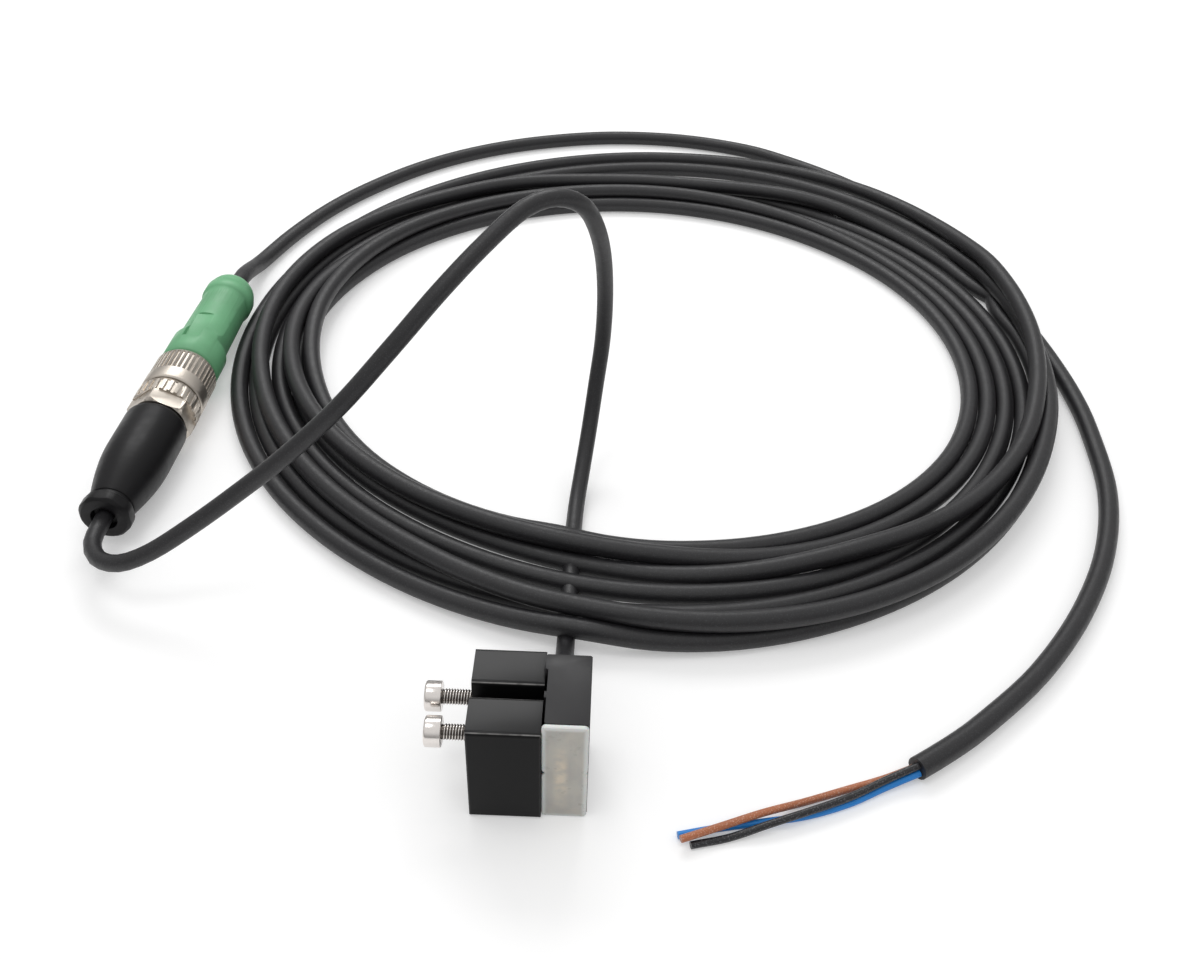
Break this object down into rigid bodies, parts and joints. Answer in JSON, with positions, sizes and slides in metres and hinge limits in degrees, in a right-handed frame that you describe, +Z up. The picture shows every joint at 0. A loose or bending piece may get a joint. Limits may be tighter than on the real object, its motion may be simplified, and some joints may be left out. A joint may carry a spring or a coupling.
{
  "type": "capacitive level sensor",
  "caption": "Miniature block-shaped capacitive level sensor on a slotted clamp block, with a fixed cable joined by an M12 connector pair to a coiled extension cable with bare conductors.",
  "frame": {"origin": "under the middle of the head (clamp block, screws and sensor), on the surface that it stands on", "axes": "+Z up; +X from the screw heads to the sensing face; +Y towards the side where the cable leaves, so the window looks along -Y"},
  "size_m": [0.2389, 0.2935, 0.0768],
  "materials": {
    "block_anodised": "black anodised, with fine milling lines on top",
    "screw_steel": "turned stainless steel",
    "housing_plastic": "fine matte moulding",
    "window_plastic": "milky translucent",
    "board_laminate": "solder mask on glass laminate",
    "led_plastic": "clear amber",
    "chip_plastic": "moulded epoxy",
    "electrode_copper": "bare copper foil",
    "insert_brass": "turned",
    "grommet_rubber": "matte",
    "cable_jacket": "matte polyurethane with a fine grain",
    "plug_moulding": "satin overmoulding",
    "ring_nickel": "nickel plated, satin",
    "carrier_plastic": "smooth",
    "contact_gold": "gold plated",
    "seal_rubber": "smooth",
    "grip_green": "satin overmoulding",
    "wire_brown": "smooth insulation",
    "wire_black": "smooth insulation",
    "wire_blue": "smooth insulation"
  },
  "bodies": {
    "root": {"clamp_block": "block_anodised", "clamp_screws": "screw_steel", "sensor_housing": "housing_plastic", "front_window": "window_plastic", "indicator_board": "board_laminate", "status_leds": "led_plastic", "circuit_board": "board_laminate", "board_chips": "chip_plastic", "sensing_electrode": "electrode_copper", "guard_electrode": "electrode_copper", "threaded_inserts": "insert_brass", "cable_grommet": "grommet_rubber", "sensor_cable": "cable_jacket", "plug_body": "plug_moulding", "plug_ring": "ring_nickel", "plug_insert": "carrier_plastic", "plug_pins": "contact_gold", "socket_nut": "ring_nickel", "socket_insert": "carrier_plastic", "socket_contacts": "contact_gold", "socket_seal": "seal_rubber", "socket_grip": "grip_green", "lead_cable": "cable_jacket", "coil_cable": "cable_jacket", "tail_cable": "cable_jacket", "wire_brown": "wire_brown", "wire_black": "wire_black", "wire_blue": "wire_blue"}
  },
  "joints": []
}
